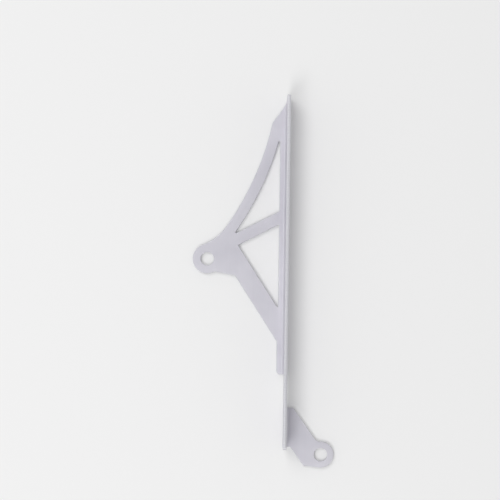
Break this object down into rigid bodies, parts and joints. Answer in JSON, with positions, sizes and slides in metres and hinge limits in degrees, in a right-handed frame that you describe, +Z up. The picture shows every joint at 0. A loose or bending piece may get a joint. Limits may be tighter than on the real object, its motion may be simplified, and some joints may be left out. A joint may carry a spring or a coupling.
{
  "type": "chain guard",
  "caption": "Folded sheet aluminium motorcycle chain guard: a long upright web, an open braced side plate with a mounting eye, and a lug with another eye.",
  "frame": {"origin": "axis of the ear's mounting hole, at the sheet's underside", "axes": "+Y along the fold towards the sloped tip, +X from the ear's hole to the web, +Z up the web"},
  "size_m": [0.1238, 0.3197, 0.03],
  "materials": {
    "sheet_aluminium": "satin, clear anodised"
  },
  "bodies": {
    "root": {"guard_plate": "sheet_aluminium"}
  },
  "joints": []
}
